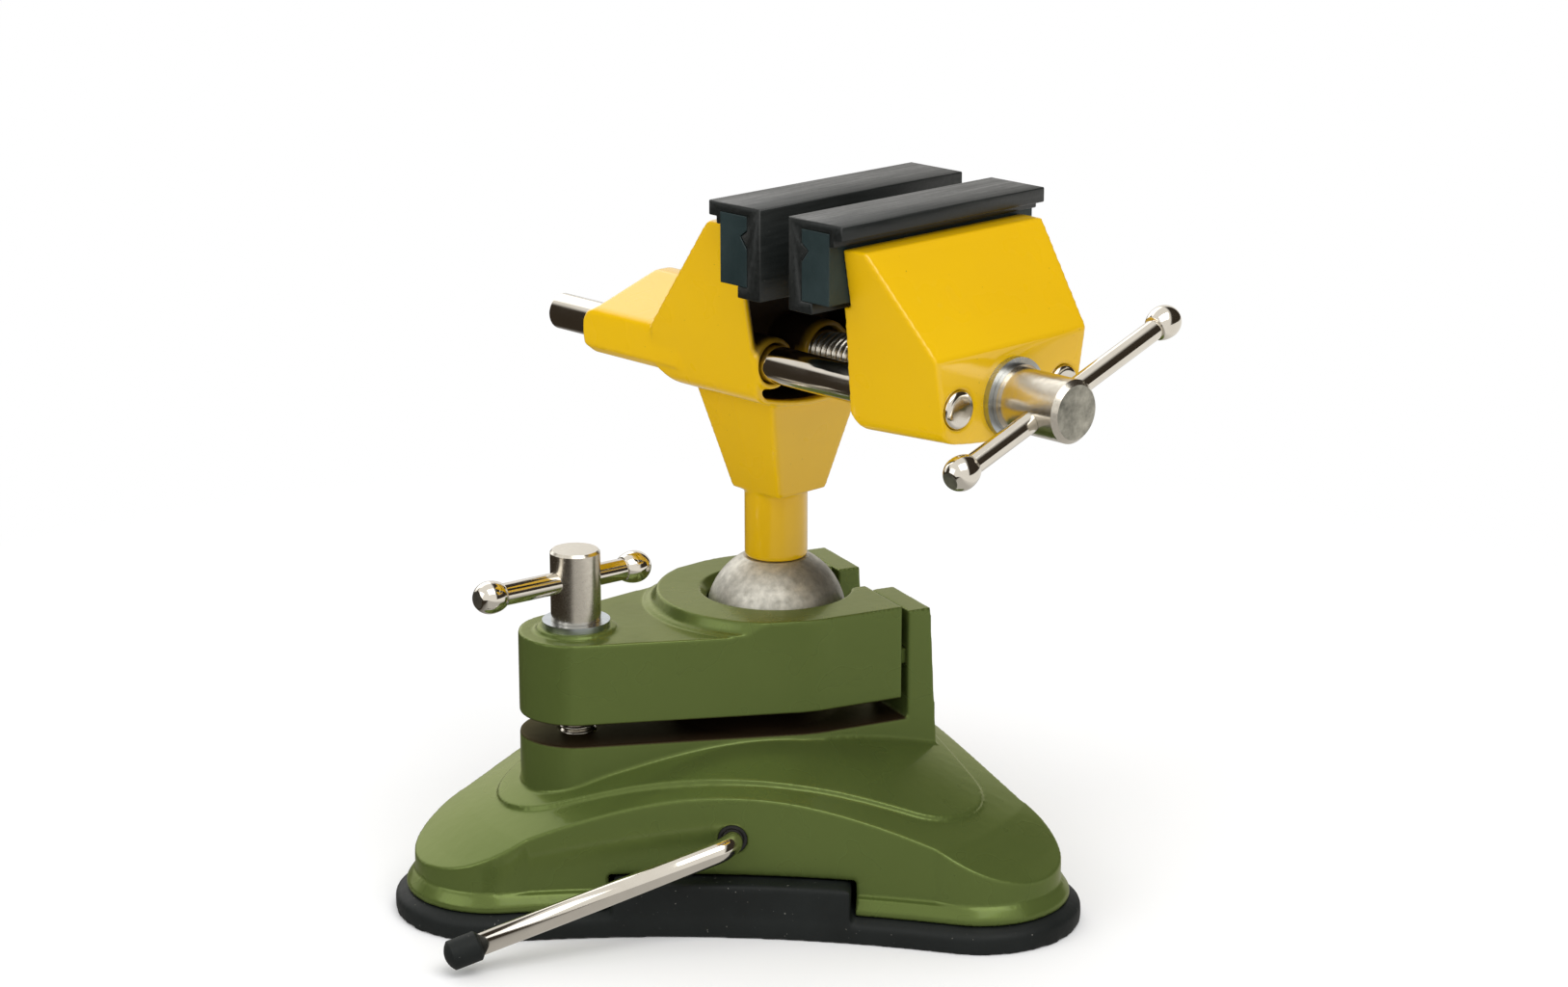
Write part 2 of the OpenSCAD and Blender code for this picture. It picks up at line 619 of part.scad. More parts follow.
module fixed_jaw() color(yellow) difference() {
  union() {
    difference() {
      union() {
        intersection() {
          side([[fixed_face, belly_z - 1], [fixed_face, cast_top], [fixed_face - top_flat - 1.7, cast_top],
            [fixed_face - top_flat - 3.7, cast_top - 1.6], [rear_v + 29.4, ridge_z - 7.4],
            [rear_v + 29.4, cast_bottom + 2.4], [rear_v + 31, cast_bottom + 1.4],
            [rear_v + 33.6, cast_bottom - 0.6], [rear_v + 37, cast_bottom - 2.2],
            [rear_v + 42, belly_z - 1]], top_half + 5);
          front(bowl(belly_z, cast_top + 4, 0, corner_r, belly_r), rear_v, fixed_face + 5);
        }
        intersection() {
          front([[-neck_half, neck_z], [neck_half, neck_z], [neck_top_half, cast_bottom - 0.5],
            [-neck_top_half, cast_bottom - 0.5]], -40, 40);
          side([[neck_half + 1.7, neck_z], [fixed_face - 1.8, cast_bottom - 0.5],
            [3.2 - neck_top_half, cast_bottom - 0.5], [0.6 - neck_half, neck_z]], neck_top_half + 5);
        }
      }
      front(bowl(belly_z + belly_t, pocket_z1, rim_t, corner_r - rim_t, belly_r - belly_t),
        fixed_face - pocket_d, fixed_face + 1);
    }
    intersection() {
      front(bowl(belly_z + 0.4, cast_top, 0.25, corner_r - 0.3, belly_r - 0.4), fixed_face - pocket_d - 1,
        fixed_face + boss_out);
      for (b = [[-rod_x, rod_r], [0, screw_r + 0.6], [rod_x, rod_r]])
        round_v(b[0], spindle_z, b[1] + boss_t, fixed_face - pocket_d - 1, fixed_face + 5);
    }
    intersection() {
      front([[-rear_half, spindle_z - 5.5], [-rear_half + 2.6, spindle_z - 8.1],
        [rear_half - 2.6, spindle_z - 8.1], [rear_half, spindle_z - 5.5], [rear_half, ridge_z - 8.4],
        [rear_half - 1, ridge_z - 7.4], [2.4, ridge_z], [-2.4, ridge_z], [-rear_half + 1, ridge_z - 7.4],
        [-rear_half, ridge_z - 8.4]], rear_v - 1, rear_v + 40);
      side([[rear_v + 3, spindle_z - 9], [rear_v + 0.5, spindle_z - 5.5], [rear_v, spindle_z - 2],
        [rear_v, spindle_z + 1], [rear_v + 1.6, spindle_z + 3.8], [rear_v + 4.2, ridge_z - 7.6],
        [rear_v + 4.2, ridge_z + 1], [rear_v + 39, ridge_z + 1], [rear_v + 39, spindle_z - 9]],
        rear_half + 5);
    }
    translate([0, 0, ball_z + ball_top + flat_gap])
      cylinder(h = neck_z - ball_z - ball_top + 4, r = stem_r);
    translate([0, 0, ball_z + ball_top - spigot_len])
      cylinder(h = spigot_len + 5, r = spigot_r);
  }
  for (s = [-1, 1]) {
    round_v(s * rod_x, spindle_z, rod_r + run, rear_v - 5, fixed_face + 5);
    round_v(s * rod_x, spindle_z, rod_r + 0.5, fixed_face - 9, fixed_face + 5);
  }
  round_v(0, spindle_z, screw_r + run, rear_v - 5, fixed_face + 5);
  round_v(0, spindle_z, screw_r + 1, fixed_face - 5, fixed_face + 5);
  bar_holes(snug);
  translate([0, 0, ball_z + ball_top - spigot_len - 1])
    cylinder(h = ball_r + ball_top, r = ball_screw_r + snug);
}

module bar_profile()
  side([[fixed_face + flat_gap, bar_z0], [fixed_face + bar_t, bar_z0],
    [fixed_face + bar_t, bar_z1 - 8.6], [fixed_face + bar_t - groove_d, bar_z1 - 5.4],
    [fixed_face + bar_t, bar_z1 - 3.6], [fixed_face + bar_t, bar_z1],
    [fixed_face + flat_gap, bar_z1]], jaw_len / 2);

module jaw_bar() color(slate) difference() {
  bar_profile();
  bar_holes(0.2);
  for (s = [-1, 1])
    round_v(s * bar_screw_x, bar_screw_z, bar_screw_r + 0.2, fixed_face + bar_t - 2.5,
      fixed_face + bar_t + 0.1, 2 * bar_screw_r + 0.3);
}

module jaw_screws() color(steel) for (s = [-1, 1]) {
  round_v(s * bar_screw_x, bar_screw_z, bar_screw_r, fixed_face + bar_t - bar_screw_len,
    fixed_face + bar_t - 2.2);
  round_v(s * bar_screw_x, bar_screw_z, bar_screw_r, fixed_face + bar_t - 2.3, fixed_face + bar_t - 0.1,
    2 * bar_screw_r);
}

module jaw_cover() color(black)
  side([[fixed_face - cover_lip, bar_z1 + cover_top], [cover_face, bar_z1 + cover_top],
    [cover_face, bar_z0 - 3.2], [fixed_face + bar_t - 3.6, bar_z0 - 3.2],
    [fixed_face + bar_t - 3.6, bar_z0 - flat_gap], [fixed_face + bar_t + snug, bar_z0 - flat_gap],
    [fixed_face + bar_t + snug, bar_z1 - 8.3], [fixed_face + bar_t - groove_d + 0.3, bar_z1 - 5.4],
    [fixed_face + bar_t + snug, bar_z1 - 3.8],
    [fixed_face + bar_t + snug, bar_z1 + flat_gap], [fixed_face, bar_z1 + flat_gap],
    [fixed_face, bar_z1 - bar_rise + 1], [fixed_face - 1.6, bar_z1 - bar_rise + 1],
    [fixed_face - 1.6, bar_z1 - 1.5], [fixed_face - cover_lip, bar_z1 - 1.5]], jaw_len / 2);

module jaw_bar_fixed() jaw_bar();
module jaw_screws_fixed() jaw_screws();
module jaw_cover_fixed() jaw_cover();
module jaw_bar_moving() mirrored() jaw_bar();
module jaw_screws_moving() mirrored() jaw_screws();
module jaw_cover_moving() mirrored() jaw_cover();

module moving_jaw() color(yellow) difference() {
  intersection() {
    side([[seat_v, cast_top], [seat_v + top_flat, cast_top], [nose_v - 0.3, crease_z],
      [nose_v, crease_z - 0.8], [nose_v, belly_z], [seat_v, belly_z],
      [seat_v - 3.6, cast_bottom + 1.2], [seat_v - 5.2, cast_bottom + 4], [seat_v - 2.4, bar_z0 - 4],
      [seat_v - 2.4, bar_z0 - 1.4], [seat_v, bar_z0 - 1.4]], top_half + 5);
    translate([0, -seat_v, cast_bottom]) rotate([-belly_slope, 0, 0]) translate([0, seat_v, -cast_bottom])
      front(bowl(belly_z + 1.8, cast_top + 6, 0, corner_r, moving_belly_r), seat_v - 15, nose_v + 10);
  }
  for (s = [-1, 1]) round_v(s * rod_x, spindle_z, rod_r + snug, seat_v - 10, nose_v + 5);
  round_v(0, spindle_z, screw_r + run, seat_v - 10, nose_v + 5);
  round_v(0, spindle_z, clip_r + 0.6, seat_v - 10, clip_v + flat_gap);
  mirrored() bar_holes(snug);
}

module guide_rod(x) color(steel) intersection() {
  union() {
    round_v(x, spindle_z, rod_r - 1, rod_rear, rod_rear + 1, rod_r);
    round_v(x, spindle_z, rod_r, rod_rear + 1, nose_v + 4);
  }
  translate([x, -(nose_v + 1.1 - 2.2 * rod_r), spindle_z]) {
    sphere(r = 2.2 * rod_r, $fn = 128);
    rotate([-90, 0, 0]) cylinder(h = nose_v - rod_rear + 20, r = 2 * rod_r);
  }
}
module guide_rod_left() guide_rod(-rod_x);
module guide_rod_right() guide_rod(rod_x);

module thrust_washer() color(zinc) difference() {
  round_v(0, spindle_z, washer_r, nose_v, nose_v + washer_t);
  round_v(0, spindle_z, screw_r + run, nose_v - 1, nose_v + washer_t + 1);
}

module screw_clip() color(steel) difference() {
  round_v(0, spindle_z, clip_r, clip_v - clip_t, clip_v);
  round_v(0, spindle_z, screw_r - 1, clip_v - clip_t - 1, clip_v + 1);
  translate([-screw_r + 2.2, -clip_v - 1, spindle_z - clip_r - 1])
    cube([2 * screw_r - 4.4, clip_t + 2, clip_r]);
}

module lead_screw() color(steel) difference() {
  union() {
    round_v(0, spindle_z, screw_r - 1, screw_rear, screw_rear + 1, screw_r);
    round_v(0, spindle_z, screw_r, screw_rear + 1, clip_v - clip_t - snug);
    round_v(0, spindle_z, screw_r - 1 - snug, clip_v - clip_t - 0.5, clip_v + 0.5);
    round_v(0, spindle_z, screw_r, clip_v + snug, collar_v + 1);
    round_v(0, spindle_z, head_r + 0.7, collar_v, collar_v + collar_t);
    round_v(0, spindle_z, head_r, collar_v + collar_t, head_v - 1.3);
    round_v(0, spindle_z, head_r, head_v - 1.3, head_v, head_r - 1.2);
  }
  translate([0, -bar_v, spindle_z]) rotate([0, 90 - bar_tilt, 0])
    cylinder(h = 5 * head_r, r = bar_r + run, center = true);
}

module screw_bar_frame()
  translate([0, -bar_v, spindle_z]) rotate([0, 90 - bar_tilt, 0]) translate([0, 0, bar_push]) children();
module screw_bar() color(steel) screw_bar_frame() tommy(bar_r, bar_span);
module screw_bar_knobs() color(steel) screw_bar_frame() knobs(bar_r, bar_span);

base_casting();
suction_pad();
lift_yoke();
lever_rod();
lever_tip();
lever_bush();
eccentric();
ball_seat();
clamp_jaw();
clamp_washer();
clamp_screw();
clamp_bar();
clamp_bar_knobs();
ball();
ball_screw();
fixed_jaw();
jaw_bar_fixed();
jaw_screws_fixed();
jaw_cover_fixed();
moving_jaw();
guide_rod_left();
guide_rod_right();
thrust_washer();
screw_clip();
jaw_bar_moving();
jaw_screws_moving();
jaw_cover_moving();
lead_screw();
screw_bar();
screw_bar_knobs();
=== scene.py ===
# %% [markdown]
# # A small bench vise on a ball joint
# The solids of this vise come from a CAD model in metres. Here they get the look of the real thing:
# enamelled castings, plated rods, a bare cast ball, moulded covers and a rubber pad. Nothing that
# has a size is changed. Only surfaces and a few finer shapes, such as threads and softened casting
# edges, are made in Blender.

# %% Load the solids
import math
import bpy
import bmesh
from mathutils import Matrix, Vector


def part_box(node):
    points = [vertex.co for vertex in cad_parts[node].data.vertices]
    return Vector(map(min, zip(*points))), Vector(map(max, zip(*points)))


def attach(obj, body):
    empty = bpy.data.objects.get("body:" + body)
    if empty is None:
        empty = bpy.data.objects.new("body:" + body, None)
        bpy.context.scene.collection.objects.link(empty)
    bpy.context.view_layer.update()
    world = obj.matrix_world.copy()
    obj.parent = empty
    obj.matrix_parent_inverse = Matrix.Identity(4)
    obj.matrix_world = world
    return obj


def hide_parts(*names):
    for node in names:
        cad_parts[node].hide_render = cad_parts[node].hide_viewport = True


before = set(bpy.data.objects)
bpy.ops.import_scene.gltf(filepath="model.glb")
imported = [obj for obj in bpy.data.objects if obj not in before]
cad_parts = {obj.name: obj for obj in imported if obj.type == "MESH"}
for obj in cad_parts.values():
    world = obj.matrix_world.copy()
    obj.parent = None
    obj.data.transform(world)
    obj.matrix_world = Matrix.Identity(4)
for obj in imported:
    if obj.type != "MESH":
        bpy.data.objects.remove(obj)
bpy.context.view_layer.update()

# %% [markdown]
# ## Camera
# The photograph is a studio shot from a little above, with a long lens, so parallel edges of the
# jaws stay almost parallel. A camera was fitted to the corners of the jaws and the clamp. Its lens
# is given for a frame of 1627 by 1024 pixels on a sensor 36 mm wide.

# %% Camera
FOCAL_PIXELS, PHOTO_WIDTH, SENSOR = 3800, 1627, 36.0
scene = bpy.context.scene
eye, aim = Vector((-0.6671, -0.6995, 0.3810)), Vector((0.0016, -0.0015, 0.1055))
lens = bpy.data.cameras.new("photo_camera")
lens.sensor_fit, lens.sensor_width = "HORIZONTAL", SENSOR
lens.lens = FOCAL_PIXELS / PHOTO_WIDTH * SENSOR
lens.clip_start, lens.clip_end = 0.05, 50.0
camera = bpy.data.objects.new("photo_camera", lens)
camera.location = eye
camera.rotation_euler = (aim - eye).to_track_quat("-Z", "Y").to_euler()
scene.collection.objects.link(camera)
scene.camera = camera
scene.view_settings.view_transform = "Standard"
print("camera is", round((aim - eye).length, 3), "m away, lens", round(lens.lens, 1), "mm")

# %% [markdown]
# ## A way to write shader maths
# A material is a graph of nodes, and wiring it by hand hides the idea behind it. This small class
# wraps one output socket. Sums and products of wrapped sockets add Math nodes, so a mask can be
# written as a formula, and every other node comes from the one method `add`.

# %% The socket class
class Wire:
    def __init__(self, tree, socket=None):
        self.tree, self.socket = tree, socket

    def add(self, kind, settings=None, sockets=None, out=0):
        node = self.tree.nodes.new(kind)
        for key, value in (settings or {}).items():
            setattr(node, key, value)
        for key, value in (sockets or {}).items():
            if isinstance(value, Wire):
                self.tree.links.new(value.socket, node.inputs[key])
            else:
                node.inputs[key].default_value = value
        return Wire(self.tree, node.outputs[out])

    def math(self, operation, a, b):
        return self.add("ShaderNodeMath", {"operation": operation}, {0: a, 1: b})

    def __add__(self, other): return self.math("ADD", self, other)
    def __radd__(self, other): return self.math("ADD", other, self)
    def __sub__(self, other): return self.math("SUBTRACT", self, other)
    def __rsub__(self, other): return self.math("SUBTRACT", other, self)
    def __mul__(self, other): return self.math("MULTIPLY", self, other)
    def __rmul__(self, other): return self.math("MULTIPLY", other, self)
    def __abs__(self): return self.math("ABSOLUTE", self, 0.0)

    def blend(self, low, high):
        """Mixes two colours by this value."""
        return self.add("ShaderNodeMix", {"data_type": "RGBA"}, {0: self, 6: low, 7: high}, out=2)

    def spread(self, low, high, to_low=0.0, to_high=1.0):
        """Stretches the span from low to high over another span, and clamps outside it."""
        return self.add("ShaderNodeMapRange", {"clamp": True},
                        {0: self, 1: low, 2: high, 3: to_low, 4: to_high})


def rgb(red, green, blue):
    """A colour as a screen shows it, turned into the linear values that Blender mixes."""
    line = lambda v: v / 12.92 if v <= 0.04045 else ((v + 0.055) / 1.055) ** 2.4
    return (line(red / 255), line(green / 255), line(blue / 255), 1.0)


class Finish:
    """A material with its graph, the place on the surface in metres, and its main shader."""
    def __init__(self, name):
        self.material = bpy.data.materials.new(name)
        self.material.use_nodes = True
        self.tree = self.material.node_tree
        self.shader = next(n for n in self.tree.nodes if n.type == "BSDF_PRINCIPLED")
        self.start = Wire(self.tree)
        self.place = self.start.add("ShaderNodeTexCoord", out="Object")
        self.x, self.y, self.z = (self.start.add("ShaderNodeSeparateXYZ", None, {0: self.place}, out=k)
                                  for k in range(3))

    def noise(self, scale, detail=2.0, rough=0.5, stretch=None):
        place = self.place
        if stretch:
            place = self.start.add("ShaderNodeMapping", None, {"Vector": place, "Scale": stretch})
        return self.start.add("ShaderNodeTexNoise", None, {
            "Vector": place, "Scale": scale, "Detail": detail, "Roughness": rough})

    def relief(self, height, strength, depth, edge=0.0):
        """Bump from a height, over edges that are rounded by shading alone where edge is given."""
        sockets = {"Height": height, "Strength": strength, "Distance": depth}
        if edge:
            sockets["Normal"] = self.start.add("ShaderNodeBevel", {"samples": 8}, {"Radius": edge})
        return self.start.add("ShaderNodeBump", None, sockets)

    def set(self, **values):
        for key, value in values.items():
            socket = self.shader.inputs[key.replace("_", " ")]
            if isinstance(value, Wire):
                self.tree.links.new(value.socket, socket)
            else:
                socket.default_value = value
        return self


def dress(finish, *nodes):
    for name in nodes:
        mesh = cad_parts[name].data
        mesh.materials.clear()
        mesh.materials.append(finish.material)
    print(finish.material.name, "on", ", ".join(nodes))


# %% [markdown]
# ## Enamel
# Both pairs of castings are dipped in thick glossy enamel. It dries with a faint orange-peel ripple
# and a few pin holes. A thin clear coat over a slightly rougher colour gives a sharp reflection on top
# of an even tint. The ripple is a shallow bump. The green one has fine metal flakes in it, so its sheen
# is yellowish instead of white, and a metallic share with a tinted edge gives that. The yellow casting
# keeps the line where the two halves of its mould met, which runs down the side of the neck. The pocket
# between the jaws and the faces of the clamp's slot lie in deep shadow, and that shade is painted into
# the colour as dark brown. Masks made from the place on the surface show where these are.

# %% Where the castings keep a mould line, and where shade is painted into the colour
def inside(wire, low, high, soft):
    """1 between low and high, 0 outside, with a soft edge."""
    return wire.spread(low - soft, low) * wire.spread(high, high + soft, 1.0, 0.0)


MOULD_Y, NECK_LOW, NECK_HIGH = -0.00055, 0.1080, 0.1360
CAST_LOW, CAST_HALF, CAST_LEAN = 0.1392, 0.0242, 0.1807
POCKET_FRONT, POCKET_BACK, FLOOR_FRONT = -0.0210, -0.0030, -0.0160
POCKET_LOW, POCKET_MID, POCKET_TOP, FLOOR_BOW = 0.1363, 0.1520, 0.1720, 6.4
SLOT_LOW, SLOT_HIGH, SLOT_END = 0.0467, 0.0528, 0.0235
CLAMP_X, CLAMP_Y = 0.9532, 0.3024


def mould_line(finish):
    off = abs(finish.y - MOULD_Y)
    return off.spread(0.0001, 0.0005, 1.0, 0.0) * inside(finish.z, NECK_LOW, NECK_HIGH, 0.0005)


# Painted shade: this mask marks the pocket between the jaws, which lies in deep shadow, and the enamel
# paints it dark brown.
def jaw_pocket_painted_shade(finish):
    half_width = (finish.z - CAST_LOW) * CAST_LEAN + CAST_HALF
    upper = (inside(finish.y, POCKET_FRONT, POCKET_BACK, 0.0006)
             * finish.y.spread(-0.0195, -0.0170, 0.75, 1.0)
             * inside(finish.z, POCKET_MID, POCKET_TOP, 0.0090))
    floor_height = finish.z - finish.x * finish.x * FLOOR_BOW
    lower = (inside(finish.y, FLOOR_FRONT, POCKET_BACK, 0.0010)
             * inside(floor_height, POCKET_LOW, POCKET_MID, 0.0004))
    return inside(half_width - abs(finish.x), 0.0016, 0.1, 0.0008) * upper.math("MAXIMUM", upper, lower)


# Painted shade: this mask marks the faces of the slot between the clamp and the foot, which lie in deep
# shadow, and the enamel paints them dark brown.
def clamp_slot_painted_shade(finish):
    along = finish.x * CLAMP_X - finish.y * CLAMP_Y
    return inside(finish.z, SLOT_LOW, SLOT_HIGH, 0.0005) * inside(along, -0.2, SLOT_END, 0.0010)


# %% Enamel for the castings
def enamel(name, light, dark, ripple, coat, painted_shade, line=None):
    finish = Finish(name)
    tint = finish.noise(14.0, 3.0).spread(0.3, 0.7)
    holes = finish.noise(1500.0, 1.0).spread(0.80, 0.83)
    shade = painted_shade(finish)
    height = finish.noise(330.0, 1.0) + finish.noise(90.0, 1.0) * 1.5 - holes * 0.6
    if line:
        height = height + line(finish) * 6.0
    colour = holes.blend(tint.blend(dark, light), (0.02, 0.02, 0.01, 1.0))
    # Painted shade: where the shade mask is 1, the colour becomes the dark brown rgb(44, 33, 22), with more
    # roughness and no clear coat.
    return finish.set(Base_Color=shade.blend(colour, rgb(44, 33, 22)),
                      Roughness=finish.noise(60.0).spread(0.2, 0.8, 0.24, 0.34) + shade * 0.25,
                      Coat_Weight=(1 - shade) * coat, Coat_Roughness=0.05, Specular_IOR_Level=0.12,
                      Normal=finish.relief(height, ripple, 0.0006))


yellow = enamel("yellow_enamel", rgb(231, 185, 3), rgb(225, 177, 5), ripple=0.05, coat=0.8,
                painted_shade=jaw_pocket_painted_shade, line=mould_line)
green = enamel("green_enamel", rgb(94, 108, 56), rgb(89, 103, 52), ripple=0.08, coat=0.15,
               painted_shade=clamp_slot_painted_shade)
green.set(Metallic=0.4, Specular_Tint=(1.0, 0.97, 0.5, 1.0))
dress(yellow, "fixed_jaw", "moving_jaw")
dress(green, "base_casting", "clamp_jaw")

# %% [markdown]
# ## Plated and bare metal
# The rods, bars and screws are turned, plated and polished. Their shine is warm, like nickel, and has
# a little haze, so the roughness wanders. The sawn ends of bars stay dull. The washers keep a dull
# bluish zinc skin. The ball is a bare casting: matt, mottled and finely pitted.

# %% Metals
def metal(name, light, dark, low, high, grain, bump):
    """Two tints, the lowest and highest roughness, how fine the grain is and how deep."""
    finish = Finish(name)
    haze = finish.noise(45.0, 3.0)
    fine = finish.noise(grain, 3.0, 0.6)
    finish.set(Base_Color=(haze * 0.5 + fine * 0.5).spread(0.35, 0.65).blend(light, dark), Metallic=1.0,
               Roughness=(haze * 0.6 + fine * 0.4).spread(0.3, 0.7, low, high),
               Normal=finish.relief(fine, bump, 0.0002))
    return finish


bright = metal("bright_steel", (0.74, 0.70, 0.63, 1.0), (0.68, 0.64, 0.57, 1.0), 0.06, 0.15, 160.0, 0.01)
satin = metal("satin_steel", (0.70, 0.66, 0.58, 1.0), (0.60, 0.56, 0.49, 1.0), 0.16, 0.30, 900.0, 0.10)
dull = metal("dull_ends", (0.52, 0.50, 0.43, 1.0), (0.12, 0.12, 0.10, 1.0), 0.38, 0.55, 300.0, 0.5)
plain = metal("plain_steel", (0.55, 0.55, 0.53, 1.0), (0.46, 0.46, 0.45, 1.0), 0.3, 0.45, 500.0, 0.1)
zinc = metal("zinc_plate", (0.52, 0.56, 0.60, 1.0), (0.42, 0.45, 0.48, 1.0), 0.22, 0.36, 400.0, 0.1)
ball_metal = metal("bare_casting", (0.67, 0.65, 0.59, 1.0), (0.35, 0.34, 0.30, 1.0), 0.46, 0.60, 420.0, 0.5)
dress(bright, "guide_rod_left", "guide_rod_right", "screw_bar", "screw_bar_knobs", "clamp_bar",
      "clamp_bar_knobs", "lever_rod")
dress(satin, "clamp_screw", "lead_screw")
dress(plain, "ball_screw", "jaw_screws_fixed", "jaw_screws_moving", "screw_clip", "eccentric", "lift_yoke")
dress(zinc, "clamp_washer", "thrust_washer")
dress(ball_metal, "ball")

# %% [markdown]
# ## Moulded and rubber pieces
# The jaw bars are coated a dark blue-green grey. The covers over them are moulded in black, with a
# grain that runs along the jaws and a satin top. The pad, its tab and the lever's cap are soft black
# rubber with a little pale dust on it, which a high threshold on fine noise gives.

# %% Dark pieces
def moulded(name, colour, rough, dust, stretch=None, edge=0.0):
    finish = Finish(name)
    grain = finish.noise(900.0, 2.0)
    cloud = finish.noise(60.0, 4.0, 0.6, stretch).spread(0.3, 0.7)
    speck = finish.noise(1300.0, 1.0, 0.4).spread(0.77, 0.80) * dust
    pale = tuple(1.5 * c + 0.003 for c in colour[:3]) + (1.0,)
    finish.set(Base_Color=speck.blend(cloud.blend(colour, pale), rgb(140, 138, 130)),
               Roughness=grain * 0.10 + cloud * 0.16 + (rough - 0.13), Specular_IOR_Level=0.4,
               Normal=finish.relief(grain + cloud * 0.5, 0.10, 0.0003, edge))
    return finish


slate = moulded("slate_metal", rgb(27, 42, 43), rough=0.45, dust=0.15, edge=0.0004)
cover = moulded("black_cover", rgb(21, 24, 23), rough=0.40, dust=0.25, stretch=(1.0, 14.0, 14.0))
plastic = moulded("black_plastic", rgb(20, 20, 20), rough=0.45, dust=0.1, edge=0.0004)
rubber = moulded("black_rubber", rgb(14, 18, 17), rough=0.60, dust=0.6)
rubber.set(Specular_IOR_Level=0.25)
dress(slate, "jaw_bar_fixed", "jaw_bar_moving")
dress(cover, "jaw_cover_fixed", "jaw_cover_moving")
dress(plastic, "ball_seat", "lever_bush")
dress(rubber, "suction_pad", "lever_tip")

# %% [markdown]
# ## Soft edges on the castings
# Sand-cast and dipped pieces have no sharp edges, while the solids do. Blender could bevel the edges,
# but bevels break where many faces meet. Wrapping the solid in a new skin of small even squares and
# relaxing that skin rounds every edge and fills every corner by up to about a millimetre, more where it
# is relaxed in more rounds. Flat faces stay where they are, so the pieces still fit each other. A last
# step leaves out points that flat faces can spare.

# %% A relaxed skin over a solid
def add_piece(name, data, finish, body, slot, *nodes):
    data.name = name
    data.materials.clear()
    data.materials.append(finish.material)
    data.polygons.foreach_set("use_smooth", [True] * len(data.polygons))
    piece = bpy.data.objects.new(name, data)
    scene.collection.objects.link(piece)
    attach(piece, body)
    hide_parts(*nodes)
    print(name, "has", len(data.polygons), "faces and stands for", ", ".join(nodes))
    return piece


def to_data(mesh):
    data = bpy.data.meshes.new("made")
    bmesh.ops.recalc_face_normals(mesh, faces=mesh.faces[:])
    mesh.to_mesh(data)
    mesh.free()
    return data


def shaped(data, *steps):
    """A mesh after some modifiers, each given as its kind and its settings."""
    block = bpy.data.objects.new("block", data)
    scene.collection.objects.link(block)
    for kind, settings in steps:
        step = block.modifiers.new(kind, kind)
        for key, value in settings.items():
            setattr(step, key, value)
    made = bpy.data.meshes.new_from_object(block.evaluated_get(bpy.context.evaluated_depsgraph_get()))
    bpy.data.objects.remove(block)
    return made


def soft_skin(name, node, finish, body, slot, square, rounds, keep, extra=None):
    """A solid in a skin of squares, relaxed in some rounds, with a share of its faces kept."""
    mesh = bmesh.new()
    mesh.from_mesh(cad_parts[node].data)
    if extra:
        extra(mesh)
    data = bpy.data.meshes.new("made")
    mesh.to_mesh(data)
    mesh.free()
    data = shaped(data, ("REMESH", {"mode": "VOXEL", "voxel_size": square}),
                  ("SMOOTH", {"factor": 0.5, "iterations": rounds}), ("DECIMATE", {"ratio": keep}))
    return add_piece(name, data, finish, body, slot, node)


soft_skin("cast_fixed_jaw", "fixed_jaw", yellow, "head", "yellow_enamel",
          square=0.00040, rounds=28, keep=0.25)
soft_skin("cast_moving_jaw", "moving_jaw", yellow, "moving_jaw", "yellow_enamel",
          square=0.00040, rounds=22, keep=0.25)
soft_skin("cast_clamp", "clamp_jaw", green, "clamp_jaw", "green_enamel",
          square=0.00040, rounds=8, keep=0.35)

# %% [markdown]
# ## The foot and its pad
# The solids draw the foot's flared lip and the pad's rim as steps. On the real foot the lip is one
# slanting band, and the pad has a thick rim with a round shoulder. Both follow the same outline of three
# lobes joined by hollow sides, so one closed band with the right section is swept round it and joined
# to the solid before the skin is made. The foot's band stops on both sides of the tab.

# %% Bands round the three lobes
LOBE_OUT, LOBE_R, SIDE_R = 0.075, 0.0225, 0.270
SIDE_OUT = LOBE_OUT / 2 + math.sqrt((SIDE_R + LOBE_R) ** 2 - 0.75 * LOBE_OUT ** 2)
FOOT_TURN, LEVER_SIDE = math.radians(-17.6), math.radians(240)
FOOT = Matrix.Rotation(FOOT_TURN, 4, "Z") @ Matrix.Translation((-0.009, 0, 0))
LOBE_SPAN = math.atan2(SIDE_OUT * math.sin(math.pi / 3), SIDE_OUT * 0.5 - LOBE_OUT)


def around(centre, out, radius, first, last, steps):
    """Points on an arc about a centre that lies at a distance out from the foot's middle."""
    x, y = out * math.cos(centre), out * math.sin(centre)
    turns = [first + (last - first) * k / steps for k in range(steps + 1)]
    return [(x + radius * math.cos(t), y + radius * math.sin(t)) for t in turns]


def outline(grow, gap):
    """The outline grown outward, from one end of a gap in the lever's side round to the other end."""
    wide = LOBE_SPAN - math.pi / 3
    stop = math.asin(gap / (SIDE_R - grow))
    points = []
    for lobe in (math.radians(300), math.radians(60), math.radians(180)):
        across = lobe + math.pi / 3
        if not points:
            points += around(LEVER_SIDE, SIDE_OUT, SIDE_R - grow, math.radians(60) - stop,
                             math.radians(60) - wide, 12)[:-1]
        points += around(lobe, LOBE_OUT, LOBE_R + grow, lobe - LOBE_SPAN, lobe + LOBE_SPAN, 40)[:-1]
        last = stop if lobe == math.radians(180) else -wide
        points += around(across, SIDE_OUT, SIDE_R - grow, across + math.pi + wide,
                         across + math.pi + last, 24)
    return points


def sweep_band(mesh, section, gap):
    """Adds a closed band whose section is given as growth and height."""
    runs = [[mesh.verts.new(FOOT @ Vector((x, y, z))) for x, y in outline(grow, gap)]
            for grow, z in section]
    for low, high in zip(runs, runs[1:] + runs[:1]):
        for k in range(len(low) - 1):
            mesh.faces.new((low[k], low[k + 1], high[k + 1], high[k]))
    for end in (0, -1):
        mesh.faces.new([run[end] for run in runs])


